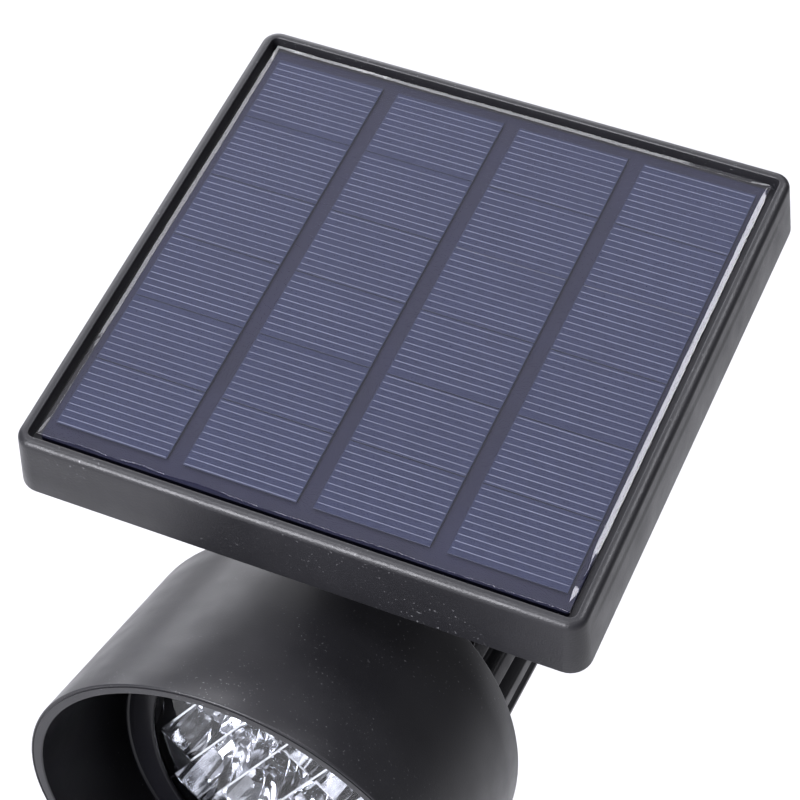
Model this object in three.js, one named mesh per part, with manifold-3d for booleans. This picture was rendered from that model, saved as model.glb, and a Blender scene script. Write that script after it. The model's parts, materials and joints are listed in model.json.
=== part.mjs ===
// Solar spotlight for a garden: a square solar panel hinged over a hooded lamp, on a ground spike.
// Millimetres, +Z up. The lamp shines along -Y. The origin is on the spike's axis at ground level.

import * as THREE from 'three';
import { mergeVertices } from 'three/addons/utils/BufferGeometryUtils.js';
import Module from 'manifold-3d';

const wasm = await Module();
wasm.setup();

// ---------------------------------------------------------------- driving dimensions

const gap = 0.3;                      // least space between two separate pieces
const runningGap = 0.4;               // between pieces that slide or turn past each other
const rad = THREE.MathUtils.degToRad;

// Lamp head. Stations along the lamp are measured forward from the hood's rear face.
const lampHeight = 170;               // lamp axis above the ground
const hoodBack = -28.35;              // Y of the hood's rear face
const station = (s) => hoodBack - s;  // Y of a point s millimetres in front of that face

const hoodRearRadius = 44.2;
const hoodFlare = rad(2.45);
const hoodWall = 2;
const hoodLength = 44.65;             // on the lamp axis
const hoodCutAngle = rad(14.35);      // the mouth is cut so that its top reaches further forward
const hoodFlangeHole = 36.2;
const hoodFlangeDepth = 2.2;

const barrelLength = 74;              // ribbed housing behind the hood
const ribCount = 24;
const ribPhase = rad(4);
const ribTopRadius = 35.06;
const ribRootRadius = 31.6;
const barrelTaper = rad(2.37);
const barrelBore = 26.8;
const rearBore = 24;

const cupRadius = 37.5;               // front of the housing, inside the hood
const cupBore = 33.4;
const cupFront = 18.2;
const opticRadius = 33;               // lens, reflector and LED board
const lensWindow = 31;                // clear radius inside the lens ring

const cupPitch = 9.2;                 // reflector troughs
const troughAngle = rad(54);           // of the rows, from +X towards +Z
const troughShift = 1.4;
const ledSize = 3.5;

// Solar panel. Its own frame has z = 0 on top of the rim.
const panelHeight = 88.1;             // rim plane above the lamp axis
const panelTilt = rad(18.55);         // front edge lower
const panelHalf = 60.4;
const panelInnerHalf = 58.2;
const panelDepth = 15;
const panelFlare = 1.06;              // the walls spread this much towards the bottom
const panelWall = 2.9;                // at the bottom, beside the back plate
const panelBackThickness = 2.3;
const boardHalf = 57.2;
const cellPitch = 28.2;
const cellWidth = 24.6;
const cellRows = 6;
const cellRowPitch = 17.7;
const cellShift = 0.6;                // the strings sit this far behind the panel's middle

// Panel hinge, under the middle of the panel.
const hingeDrop = 12;                 // pivot below the panel's underside
const earRadius = 9;
const hingeEar = 4;                   // thickness of one ear
const hingeBore = 2.7;
const armHalfWidth = 4.5;
const pivotDistance = panelDepth + hingeDrop;
const armY = pivotDistance * Math.sin(panelTilt);
const armPivot = panelHeight - pivotDistance * Math.cos(panelTilt);
const bossRadius = 14;
const bossTop = 37.5;

// Tilt joint between the lamp and the stake.
const lugDrop = 52;                   // pivot below the lamp axis
const lugRadius = 10;
const lugHalfWidth = 5;
const forkEar = 5;
const tiltBore = 3.2;
const forkBaseRadius = 13;
const forkBaseTop = -13;              // measured from the pivot
const forkBaseBottom = -36;
const tiltPivot = lampHeight - lugDrop;

// Stake.
const postRadius = 11.5;
const spigotRadius = 8;
const postBore = 9.3;
const postScrewHeight = 18;
const pilotRadius = 1.7;              // clearance for the small screws
const collarRadius = 26;
const collarHeight = 4.6;
const spikeDepth = 120;
const spikeWidth = 26;
const bladeThickness = 3.2;

// Sides of a circle on large, middling and small round pieces.
const fine = 36;
const medium = 26;
const coarse = 12;

// ---------------------------------------------------------------- shape helpers

// The same surface with shared corners merged, no empty triangles and its faces turned outwards.
function closed(geometry) {
  const bare = new THREE.BufferGeometry();
  bare.setAttribute('position', geometry.getAttribute('position').clone());
  if (geometry.index) bare.setIndex(geometry.index.clone());
  const merged = mergeVertices(bare, 1e-4);
  const position = merged.getAttribute('position');
  const source = merged.index.array;
  const corners = [new THREE.Vector3(), new THREE.Vector3(), new THREE.Vector3()];
  const faces = [];
  let volume = 0;
  for (let i = 0; i < source.length; i += 3) {
    const face = [source[i], source[i + 1], source[i + 2]];
    if (new Set(face).size < 3) continue;
    faces.push(face);
    corners.forEach((corner, k) => corner.fromBufferAttribute(position, face[k]));
    volume += corners[0].dot(corners[1].cross(corners[2]));
  }
  merged.setIndex((volume < 0 ? faces.map((face) => face.reverse()) : faces).flat());
  return merged;
}

function toManifold(geometry) {
  const shape = closed(geometry);
  return new wasm.Manifold(new wasm.Mesh({
    numProp: 3,
    vertProperties: new Float32Array(shape.getAttribute('position').array),
    triVerts: new Uint32Array(shape.index.array),
  }));
}

function fromManifold(manifold) {
  const mesh = manifold.getMesh();
  const geometry = new THREE.BufferGeometry();
  geometry.setAttribute('position', new THREE.BufferAttribute(mesh.vertProperties, 3));
  geometry.setIndex(new THREE.BufferAttribute(mesh.triVerts, 1));
  return geometry;
}

const join = (...shapes) => fromManifold(shapes.map(toManifold).reduce((a, b) => a.add(b)));

const cut = (base, ...tools) =>
  fromManifold(tools.map(toManifold).reduce((a, b) => a.subtract(b), toManifold(base)));

// A round bar along an axis; centre holds its two other coordinates.
function rod(axis, radius, from, to, centre = [0, 0], sides = medium) {
  const geometry = new THREE.CylinderGeometry(radius, radius, to - from, sides);
  geometry.translate(0, (from + to) / 2, 0);
  const [a, b] = centre;
  if (axis === 'x') geometry.rotateZ(-Math.PI / 2).translate(0, a, b);
  if (axis === 'y') geometry.translate(a, 0, b);
  if (axis === 'z') geometry.rotateX(Math.PI / 2).translate(a, b, 0);
  return geometry;
}

function block([x0, y0, z0], [x1, y1, z1]) {
  const geometry = new THREE.BoxGeometry(x1 - x0, y1 - y0, z1 - z0);
  return geometry.translate((x0 + x1) / 2, (y0 + y1) / 2, (z0 + z1) / 2);
}

// A solid of revolution about the lamp axis, from [radius, station] points.
function turnedOnLamp(profile, segments = fine) {
  const points = profile.map(([r, s]) => new THREE.Vector2(r, station(s)));
  return new THREE.LatheGeometry(points, segments);
}

// A solid of revolution about a vertical axis, from [radius, height] points.
function turnedUpright(profile, segments = medium) {
  const points = profile.map(([r, z]) => new THREE.Vector2(r, z));
  return new THREE.LatheGeometry(points, segments).rotateX(Math.PI / 2);
}

// A solid between star-shaped outlines, each { z, points: [[x, y], ...] }, listed upwards.
function stack(rings) {
  const count = rings[0].points.length;
  const positions = rings.flatMap(({ z, points }) => points.flatMap(([x, y]) => [x, y, z]));
  const index = [];
  for (let r = 0; r < rings.length - 1; r += 1) {
    for (let i = 0; i < count; i += 1) {
      const a = r * count + i;
      const b = r * count + (i + 1) % count;
      index.push(a, b, b + count, a, b + count, a + count);
    }
  }
  const bottom = positions.length / 3;
  positions.push(0, 0, rings[0].z, 0, 0, rings[rings.length - 1].z);
  const last = (rings.length - 1) * count;
  for (let i = 0; i < count; i += 1) {
    const next = (i + 1) % count;
    index.push(bottom, next, i, bottom + 1, last + i, last + next);
  }
  const geometry = new THREE.BufferGeometry();
  geometry.setAttribute('position', new THREE.Float32BufferAttribute(positions, 3));
  geometry.setIndex(index);
  return geometry;
}

function roundedSquare(half, radius, z, steps = 4) {
  const points = [];
  for (let corner = 0; corner < 4; corner += 1) {
    const middle = Math.PI / 4 + corner * Math.PI / 2;
    const x = Math.sign(Math.cos(middle)) * (half - radius);
    const y = Math.sign(Math.sin(middle)) * (half - radius);
    for (let i = 0; i <= steps; i += 1) {
      const angle = corner * Math.PI / 2 + i / steps * Math.PI / 2;
      points.push([x + radius * Math.cos(angle), y + radius * Math.sin(angle)]);
    }
  }
  return { z, points };
}

// A plate whose outline lies in the (y, z) plane, from one x to another.
function sidePlate(outline, from, to) {
  const shape = new THREE.Shape(outline.map(([y, z]) => new THREE.Vector2(y, z)));
  const geometry = new THREE.ExtrudeGeometry(shape, { depth: to - from, bevelEnabled: false });
  const position = geometry.getAttribute('position');
  for (let i = 0; i < position.count; i += 1) {
    const [y, z, x] = [position.getX(i), position.getY(i), position.getZ(i)];
    position.setXYZ(i, x + from, y, z);
  }
  return geometry;
}

// A hinge ear: a round end about the pivot, widening to a straight foot at footZ.
function earOutline(pivotY, pivotZ, radius, footHalf, footZ, steps = 10) {
  const side = Math.sign(pivotZ - footZ);
  const points = [[pivotY + side * footHalf, footZ]];
  for (let i = 0; i <= steps; i += 1) {
    const angle = i / steps * Math.PI;
    points.push([
      pivotY + side * radius * Math.cos(angle),
      pivotZ + side * radius * Math.sin(angle),
    ]);
  }
  points.push([pivotY - side * footHalf, footZ]);
  return points;
}

// A cross-head screw along +Z: the top of its head is at z = 0 and its shank points down.
function screw(headRadius, headHeight, shankRadius, length) {
  const body = turnedUpright([
    [0, -length],
    [shankRadius * 0.5, -length],
    [shankRadius, -length + shankRadius],
    [shankRadius, -headHeight],
    [headRadius, -headHeight],
    [headRadius, -headHeight * 0.4],
    [headRadius * 0.7, 0],
    [0, 0],
  ], coarse);
  const slot = headRadius * 0.14;
  const reach = headRadius * 0.6;
  const depth = headHeight * 0.6;
  return cut(
    body,
    join(block([-reach, -slot, -depth], [reach, slot, 1]), block([-slot, -reach, -depth], [slot, reach, 1])),
  );
}

// A lobed hand knob along +X, with a blind bore for the bolt's end.
function handKnob(radius, from, to, bore) {
  const lobes = 6;
  const outline = (scale, x) => {
    const points = [];
    for (let i = 0; i < lobes * 6; i += 1) {
      const angle = i / (lobes * 6) * 2 * Math.PI;
      const r = scale * (radius - 0.9 + 0.9 * Math.cos(lobes * angle));
      points.push([r * Math.cos(angle), r * Math.sin(angle)]);
    }
    return { z: x, points };
  };
  const grip = stack([
    outline(0.92, from + 1.2),
    outline(1, from + 2),
    outline(1, to - 1.4),
    outline(0.86, to),
  ]);
  grip.rotateX(Math.PI / 2).rotateZ(Math.PI / 2);
  const hub = rod('x', radius * 0.62, from, from + 3, [0, 0], 18);
  return cut(join(grip, hub), rod('x', bore, from - 1, to - 2.6, [0, 0], coarse));
}

// A hexagon-head bolt along +X, with the head's inner face at x = from.
function hexBolt(headRadius, headHeight, shankRadius, from, to) {
  const head = rod('x', headRadius, from - headHeight, from, [0, 0], 6);
  const shank = rod('x', shankRadius, from - 0.5, to, [0, 0], coarse);
  return join(head, shank);
}

// ---------------------------------------------------------------- materials

const finishes = {
  black_plastic: { color: 0x2e2e31, roughness: 0.42, metalness: 0 },
  bezel_plastic: { color: 0x131315, roughness: 0.3, metalness: 0 },
  stake_plastic: { color: 0x29292b, roughness: 0.5, metalness: 0 },
  chrome_reflector: { color: 0xd9dbde, roughness: 0.08, metalness: 1 },
  clear_lens: { color: 0xf2f5f7, roughness: 0.04, metalness: 0, transparent: true, opacity: 0.25 },
  resin: { color: 0xc9cbe0, roughness: 0.05, metalness: 0, transparent: true, opacity: 0.3 },
  board: { color: 0x3a3a46, roughness: 0.5, metalness: 0 },
  silicon: { color: 0x343b5c, roughness: 0.35, metalness: 0.1 },
  led: { color: 0xf4f1df, roughness: 0.35, metalness: 0 },
  steel: { color: 0xa9abae, roughness: 0.3, metalness: 1 },
  rubber: { color: 0x1a1a1b, roughness: 0.75, metalness: 0 },
  circuit: { color: 0x1f5a38, roughness: 0.45, metalness: 0 },
  aluminium: { color: 0xc6c8ca, roughness: 0.35, metalness: 1 },
  battery: { color: 0x2c5e9a, roughness: 0.35, metalness: 0 },
};

const light = new THREE.Group();

function addPart(parent, name, geometry, finish) {
  const mesh = new THREE.Mesh(closed(geometry), new THREE.MeshStandardMaterial(finishes[finish]));
  mesh.name = name;
  parent.add(mesh);
  return mesh;
}

// ---------------------------------------------------------------- stake

function groundSpike() {
  const collar = turnedUpright([
    [0, 0],
    [collarRadius, 0],
    [collarRadius, collarHeight - 2.2],
    [collarRadius - 3, collarHeight - 0.6],
    [14, collarHeight],
    [0, collarHeight],
  ], 36);
  const stub = rod('z', postBore - gap, 0.5, 30);
  const blade = new THREE.Shape([
    new THREE.Vector2(-spikeWidth / 2, 1),
    new THREE.Vector2(-spikeWidth / 2, -24),
    new THREE.Vector2(-1, -spikeDepth),
    new THREE.Vector2(1, -spikeDepth),
    new THREE.Vector2(spikeWidth / 2, -24),
    new THREE.Vector2(spikeWidth / 2, 1),
  ]);
  const flat = new THREE.ExtrudeGeometry(blade, { depth: bladeThickness, bevelEnabled: false });
  flat.translate(0, 0, -bladeThickness / 2).rotateX(Math.PI / 2);
  const crossed = flat.clone().rotateZ(Math.PI / 2);
  const pilot = rod('y', pilotRadius, -12, -3, [0, postScrewHeight], coarse);
  return cut(join(collar, stub, flat, crossed), pilot);
}

function stakePost() {
  const shoulder = tiltPivot + forkBaseBottom - runningGap;
  const foot = collarHeight + runningGap;
  const spigotTop = tiltPivot - 19.6;
  const outside = turnedUpright([
    [0, foot],
    [postRadius + 1.5, foot],
    [postRadius + 1.5, foot + 6.6],
    [postRadius, foot + 8.6],
    [postRadius, shoulder - 6],
    [postRadius + 1.2, shoulder - 4.5],
    [postRadius + 1.2, shoulder],
    [spigotRadius, shoulder],
    [spigotRadius, spigotTop - 1],
    [spigotRadius - 1, spigotTop],
    [0, spigotTop],
  ]);
  const bore = rod('z', postBore, 0, shoulder - 10);
  const screwHole = rod('y', pilotRadius, -16, 0, [0, postScrewHeight], coarse);
  return cut(outside, bore, screwHole);
}

addPart(light, 'ground_spike', groundSpike(), 'stake_plastic');
addPart(light, 'stake_post', stakePost(), 'stake_plastic');
const postScrew = addPart(light, 'post_screw', screw(3, 1.6, 1.4, 9), 'steel');
postScrew.position.set(0, -(postRadius + 1.9), postScrewHeight);
postScrew.rotation.x = Math.PI / 2;

// ---------------------------------------------------------------- tilt bracket

function swivelFork() {
  const inner = lugHalfWidth + runningGap;
  const outer = inner + forkEar;
  const outline = earOutline(0, 0, lugRadius, lugRadius, forkBaseTop - 6);
  const base = turnedUpright([
    [0, forkBaseBottom],
    [forkBaseRadius - 0.8, forkBaseBottom],
    [forkBaseRadius, forkBaseBottom + 0.8],
    [forkBaseRadius, forkBaseTop - 1.5],
    [forkBaseRadius - 1.5, forkBaseTop],
    [0, forkBaseTop],
  ]);
  const ears = [sidePlate(outline, inner, outer), sidePlate(outline, -outer, -inner)];
  const socket = rod('z', spigotRadius + gap, forkBaseBottom - 1, forkBaseTop - 6);
  return cut(join(base, ...ears), socket, rod('x', tiltBore, -20, 20, [0, 0], coarse));
}

const bracket = new THREE.Group();
bracket.position.z = tiltPivot;
light.add(bracket);
const forkFace = lugHalfWidth + runningGap + forkEar + gap;
addPart(bracket, 'swivel_fork', swivelFork(), 'black_plastic');
addPart(bracket, 'tilt_bolt', hexBolt(5.2, 3.5, 2.8, -forkFace, forkFace + 5.4), 'steel');
addPart(bracket, 'tilt_knob', handKnob(11, forkFace, forkFace + 9.4, tiltBore), 'black_plastic');

// ---------------------------------------------------------------- lamp housing

function ribbedBarrel() {
  const ring = (behind) => {
    const scale = 1 - behind * Math.tan(barrelTaper) / ribTopRadius;
    const points = [];
    const corners = [[ribRootRadius, -4.2], [ribTopRadius, -3.3], [ribTopRadius, 3.3], [ribRootRadius, 4.2]];
    for (let rib = 0; rib < ribCount; rib += 1) {
      for (const [radius, offset] of corners) {
        const angle = ribPhase + rib / ribCount * 2 * Math.PI + rad(offset);
        points.push([radius * scale * Math.cos(angle), -radius * scale * Math.sin(angle)]);
      }
    }
    return { z: behind, points };
  };
  return stack([ring(-0.5), ring(barrelLength)]).rotateX(-Math.PI / 2).translate(0, hoodBack, 0);
}

const hoodScrewAngles = [90, 210, 330].map(rad);
const hoodScrewCircle = 39.2;
const rearScrewAngles = [34, 154, 274].map(rad);
const rearScrewCircle = 26.8;

function lampBody() {
  const front = turnedOnLamp([
    [0, -3],
    [35.8, -0.4],
    [35.8, hoodFlangeDepth + gap],
    [41.8, hoodFlangeDepth + gap],
    [41.8, hoodFlangeDepth + 3.2],
    [cupRadius, hoodFlangeDepth + 3.6],
    [cupRadius, cupFront],
    [0, cupFront],
  ]);
  const boss = rod('z', bossRadius, 20, bossTop, [0, armY]);
  const lug = sidePlate(
    earOutline(0, -lugDrop, lugRadius, 16, -26),
    -lugHalfWidth,
    lugHalfWidth,
  );
  const hollow = turnedOnLamp([
    [0, cupFront + 1],
    [cupBore, cupFront + 1],
    [cupBore, 0.9],
    [barrelBore, 0.9],
    [barrelBore, -68],
    [rearBore, -68],
    [rearBore, -barrelLength - 1],
    [0, -barrelLength - 1],
  ], 36);
  const hoodPilots = hoodScrewAngles.map((angle) => rod(
    'y', 1.4, station(7), station(1),
    [hoodScrewCircle * Math.cos(angle), hoodScrewCircle * Math.sin(angle)], 8,
  ));
  const rearPilots = rearScrewAngles.map((angle) => rod(
    'y', 1.5, station(-66), station(-barrelLength - 1),
    [rearScrewCircle * Math.cos(angle), rearScrewCircle * Math.sin(angle)], 8,
  ));
  return cut(
    join(front, ribbedBarrel(), boss, lug),
    hollow,
    rod('z', 5.4, 20, bossTop + 1, [0, armY], 18),
    rod('x', tiltBore, -20, 20, [0, -lugDrop], coarse),
    ...hoodPilots,
    ...rearPilots,
  );
}

function hood() {
  const outer = (s) => hoodRearRadius + s * Math.tan(hoodFlare);
  const reach = 66;
  const shell = turnedOnLamp([
    [hoodFlangeHole, 0],
    [outer(0) - 0.5, 0],
    [outer(0.5), 0.5],
    [outer(reach), reach],
    [outer(reach) - hoodWall, reach],
    [outer(hoodFlangeDepth) - hoodWall, hoodFlangeDepth],
    [hoodFlangeHole, hoodFlangeDepth],
    [hoodFlangeHole, 0],
  ], 48);
  const beyond = block([-80, -60, -80], [80, 0, 80]);
  beyond.rotateX(hoodCutAngle).translate(0, station(hoodLength), 0);
  const holes = hoodScrewAngles.map((angle) => rod(
    'y', pilotRadius, station(4), station(-1),
    [hoodScrewCircle * Math.cos(angle), hoodScrewCircle * Math.sin(angle)], 8,
  ));
  return cut(shell, beyond, ...holes);
}

function rearCap() {
  const end = -barrelLength;
  const shell = turnedOnLamp([
    [6.4, end - 10],
    [24, end - 10],
    [29.5, end - 8.2],
    [32.2, end - 4.5],
    [32.4, end - 0.4],
    [25.4, end - 0.4],
    [25.4, end - 1.5],
    [rearBore - 0.4, end - 1.5],
    [rearBore - 0.4, end + 2.6],
    [22, end + 2.6],
    [22, end - 6.5],
    [20.5, end - 7.6],
    [6.4, end - 7.6],
    [6.4, end - 10],
  ], 28);
  const drilled = rearScrewAngles.flatMap((angle) => {
    const at = [rearScrewCircle * Math.cos(angle), rearScrewCircle * Math.sin(angle)];
    return [
      rod('y', 2.9, station(end - 4), station(end - 12), at, coarse),
      rod('y', 1.5, station(end + 1), station(end - 5), at, 8),
    ];
  });
  return cut(shell, ...drilled);
}

function powerButton() {
  const face = -barrelLength - 12.2;
  return turnedOnLamp([
    [0, face],
    [3, face + 0.1],
    [5.2, face + 0.5],
    [6, face + 1.3],
    [6, face + 4.9],
    [7.6, face + 4.9],
    [7.6, face + 6.6],
    [0, face + 6.6],
  ], 20);
}

const head = new THREE.Group();
head.position.z = lampHeight;
light.add(head);

addPart(head, 'lamp_body', lampBody(), 'black_plastic');
addPart(head, 'hood', hood(), 'black_plastic');
hoodScrewAngles.forEach((angle, i) => {
  const fastener = addPart(head, `hood_screw_${i + 1}`, screw(2.7, 1.5, 1.1, 7), 'steel');
  const [x, z] = [hoodScrewCircle * Math.cos(angle), hoodScrewCircle * Math.sin(angle)];
  fastener.position.set(x, hoodBack + gap + 1.5, z);
  fastener.rotation.x = -Math.PI / 2;
});
addPart(head, 'rear_cap', rearCap(), 'black_plastic');
rearScrewAngles.forEach((angle, i) => {
  const fastener = addPart(head, `rear_screw_${i + 1}`, screw(2.5, 1.8, 1.2, 12), 'steel');
  const [x, z] = [rearScrewCircle * Math.cos(angle), rearScrewCircle * Math.sin(angle)];
  fastener.position.set(x, station(-barrelLength - 6.2), z);
  fastener.rotation.x = -Math.PI / 2;
});
addPart(head, 'rear_seal', turnedOnLamp([
  [24.1, -barrelLength - 0.3],
  [25.1, -barrelLength - 0.3],
  [25.1, -barrelLength - 1.2],
  [24.1, -barrelLength - 1.2],
  [24.1, -barrelLength - 0.3],
], 28), 'rubber');
addPart(head, 'power_button', powerButton(), 'rubber');

// ---------------------------------------------------------------- optics

// Reflector troughs: [row across the troughs, place along the trough, length of the mouth].
const troughs = [
  [-2, 0, 36],
  [-1, -14.8, 28.4],
  [-1, 14.8, 28.4],
  [0, -15.8, 30.4],
  [0, 15.8, 30.4],
  [1, -14.2, 27.2],
  [1, 14.2, 27.2],
  [2, 0, 36],
];

// Places something drawn about the lamp axis into a trough, turned to lie along it.
function atTrough(geometry, row, along) {
  const across = troughShift + row * cupPitch;
  return geometry.translate(across, 0, along).rotateY(Math.PI / 2 - troughAngle);
}

function reflector() {
  const disc = rod('y', opticRadius, station(16.4), station(3.4), [0, 0], fine);
  const cups = troughs.map(([row, along, length]) => {
    const floor = ledSize / 2 + 0.7;
    const mouth = [(cupPitch - 0.7) / 2, length / 2];
    const corner = ([x, y], z) => ({ z, points: [[x, y], [-x, y], [-x, -y], [x, -y]] });
    const cup = stack([corner([floor, floor], 2), corner(mouth, 17)]);
    // The trough is drawn along +Z and turned so that its mouth faces the lens.
    cup.rotateX(Math.PI / 2).translate(0, hoodBack, 0);
    return atTrough(cup, row, along);
  });
  return cut(disc, ...cups);
}

addPart(head, 'lens_ring', turnedOnLamp([
  [lensWindow, 19.5],
  [33.7, 19.3],
  [33.7, 18.5],
  [cupRadius, 18.5],
  [cupRadius, 21],
  [cupRadius - 0.9, 21.6],
  [lensWindow, 20.4],
  [lensWindow, 19.5],
]), 'bezel_plastic');
addPart(head, 'lens', turnedOnLamp([
  [0, 16.8],
  [opticRadius, 16.8],
  [opticRadius, 18.9],
  [0, 18.9],
]), 'clear_lens');
addPart(head, 'reflector', reflector(), 'chrome_reflector');
addPart(head, 'led_board', rod('y', opticRadius, station(2.8), station(1.2), [0, 0], 36), 'aluminium');
troughs.forEach(([row, along], i) => {
  const chip = block([-ledSize / 2, station(4.3), -ledSize / 2], [ledSize / 2, station(3.1), ledSize / 2]);
  addPart(head, `led_${i + 1}`, atTrough(chip, row, along), 'led');
});

// ---------------------------------------------------------------- electrics

const cellDrop = 5;                   // battery axis below the lamp axis
const batteryRadius = 9.2;

function batteryHolder() {
  const cradle = rod('y', 11.4, station(-0.8), station(-68.9), [0, -cellDrop]);
  const foot = block([-6, station(-4), -25.7], [6, station(-64), -cellDrop - 8]);
  const pocket = rod('y', batteryRadius + 0.5, station(-2.2), station(-67.9), [0, -cellDrop]);
  const opening = block([-20, station(0), -cellDrop + 2], [20, station(-70), 20]);
  return cut(join(cradle, foot), pocket, opening);
}

addPart(head, 'battery_holder', batteryHolder(), 'black_plastic');
addPart(
  head,
  'battery_cell',
  rod('y', batteryRadius, station(-2.6), station(-67.6), [0, -cellDrop]),
  'battery',
);
addPart(head, 'circuit_board', rod('y', 23.4, station(-69.5), station(-71.1), [0, 0], 36), 'circuit');
addPart(head, 'button_switch', join(
  block([-3, station(-71.4), -3], [3, station(-75), 3]),
  rod('y', 1.7, station(-74.5), station(-77.6), [0, 0], coarse),
), 'bezel_plastic');

// ---------------------------------------------------------------- panel arm

function panelArm() {
  const turned = turnedUpright([
    [0, 21],
    [4.2, 21],
    [4.2, 22.5],
    [3.2, 22.5],
    [3.2, 25.4],
    [5, 25.4],
    [5, bossTop + runningGap],
    [bossRadius - 1.2, bossTop + runningGap],
    [bossRadius - 0.4, bossTop + 1.2],
    [bossRadius - 0.4, bossTop + 3.4],
    [bossRadius - 1.6, bossTop + 4.6],
    [9.5, bossTop + 5.4],
    [8.2, armPivot - earRadius - 1.2],
    [0, armPivot - earRadius - 1.2],
  ]).translate(0, armY, 0);
  const lug = sidePlate(
    earOutline(armY, armPivot, earRadius, earRadius, bossTop + 4),
    -armHalfWidth,
    armHalfWidth,
  );
  return cut(join(turned, lug), rod('x', hingeBore, -20, 20, [armY, armPivot], coarse));
}

addPart(head, 'panel_arm', panelArm(), 'black_plastic');
const clip = turnedUpright([
  [3.5, 23.2],
  [8.5, 23.2],
  [8.5, 25],
  [3.5, 25],
  [3.5, 23.2],
], 18);
addPart(head, 'arm_clip', clip.translate(0, armY, 0), 'steel');

// ---------------------------------------------------------------- solar panel

const panel = new THREE.Group();
panel.position.set(0, 0, lampHeight + panelHeight);
panel.rotation.x = panelTilt;
light.add(panel);

const panelScrewPlaces = [[-50, -50], [50, -50], [50, 50], [-50, 50]];
const panelFoot = panelHalf + panelFlare;

function panelFrame() {
  const outside = stack([
    roundedSquare(panelFoot - 0.5, 4.2, -panelDepth),
    roundedSquare(panelFoot, 4.6, -panelDepth + 0.5),
    roundedSquare(panelHalf, 3.6, -1.3),
    roundedSquare(panelHalf - 0.4, 3.2, -0.4),
    roundedSquare(panelHalf - 1.3, 2.4, 0),
  ]);
  const recess = stack([roundedSquare(panelInnerHalf, 0.8, -3.4), roundedSquare(panelInnerHalf, 0.8, 1)]);
  const underside = stack([
    roundedSquare(panelFoot - panelWall, 3, -panelDepth - 1),
    roundedSquare(panelFoot - panelWall - 0.5, 3, -5.4),
  ]);
  const tray = cut(outside, recess, underside);
  const posts = panelScrewPlaces.map((place) => rod('z', 4, -12.3, -5, place, coarse));
  const pilots = panelScrewPlaces.map((place) => rod('z', pilotRadius, -13, -6.4, place, 8));
  return cut(join(tray, ...posts), ...pilots);
}

function panelBack() {
  const half = panelFoot - panelWall - 0.6;
  const plate = stack([
    roundedSquare(half, 2.6, -panelDepth),
    roundedSquare(half, 2.6, -panelDepth + panelBackThickness),
  ]);
  const outline = earOutline(0, -pivotDistance, earRadius, 15, -panelDepth + 0.5);
  const inner = armHalfWidth + runningGap;
  const ears = [
    sidePlate(outline, inner, inner + hingeEar),
    sidePlate(outline, -inner - hingeEar, -inner),
  ];
  const holes = panelScrewPlaces.flatMap((place) => [
    rod('z', 1.8, -17, -12, place, 8),
    rod('z', 3.4, -17, -13.7, place, coarse),
  ]);
  const bore = rod('x', hingeBore, -20, 20, [0, -pivotDistance], coarse);
  return cut(join(plate, ...ears), ...holes, bore);
}

function cellString(column) {
  const x = (column - 1.5) * cellPitch;
  const front = cellShift - cellRows * cellRowPitch / 2;
  const back = cellShift + cellRows * cellRowPitch / 2;
  const strip = block([x - cellWidth / 2, front, -1.8], [x + cellWidth / 2, back, -1.5]);
  const seams = [];
  for (let row = 1; row < cellRows; row += 1) {
    const y = front + row * cellRowPitch;
    seams.push(block([x - cellWidth, y - 0.2, -1.65], [x + cellWidth, y + 0.2, -1]));
  }
  return cut(strip, ...seams);
}

addPart(panel, 'panel_frame', panelFrame(), 'black_plastic');
addPart(panel, 'panel_back', panelBack(), 'black_plastic');
panelScrewPlaces.forEach(([x, y], i) => {
  const fastener = addPart(panel, `panel_screw_${i + 1}`, screw(3, 1.2, 1.4, 7.8), 'steel');
  fastener.position.set(x, y, -panelDepth - 0.2);
  fastener.rotation.x = Math.PI;
});
addPart(
  panel,
  'solar_board',
  block([-boardHalf, -boardHalf, -3.1], [boardHalf, boardHalf, -2.1]),
  'board',
);
for (let column = 0; column < 4; column += 1) {
  addPart(panel, `cell_string_${column + 1}`, cellString(column), 'silicon');
}
addPart(panel, 'resin_coat', stack([
  roundedSquare(boardHalf, 2.6, -1.2),
  roundedSquare(boardHalf, 2.6, -0.8),
  roundedSquare(boardHalf - 0.8, 2, -0.5),
]), 'resin');

const hinge = new THREE.Group();
hinge.position.z = -pivotDistance;
panel.add(hinge);
const hingeFace = armHalfWidth + runningGap + hingeEar + gap;
addPart(hinge, 'hinge_bolt', hexBolt(4.4, 3, 2.3, -hingeFace, hingeFace + 4.8), 'steel');
addPart(hinge, 'hinge_knob', handKnob(8.4, hingeFace, hingeFace + 8, hingeBore), 'black_plastic');

export default light;
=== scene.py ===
"""Solar garden spotlight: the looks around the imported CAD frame. Lengths are in millimetres until a
mesh is made, and the frame is the CAD's: the lamp shines along -Y, and Z = 0 is the ground."""

import json
import math

import bmesh
import bpy
import numpy as np
from mathutils import Matrix, Vector


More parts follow.
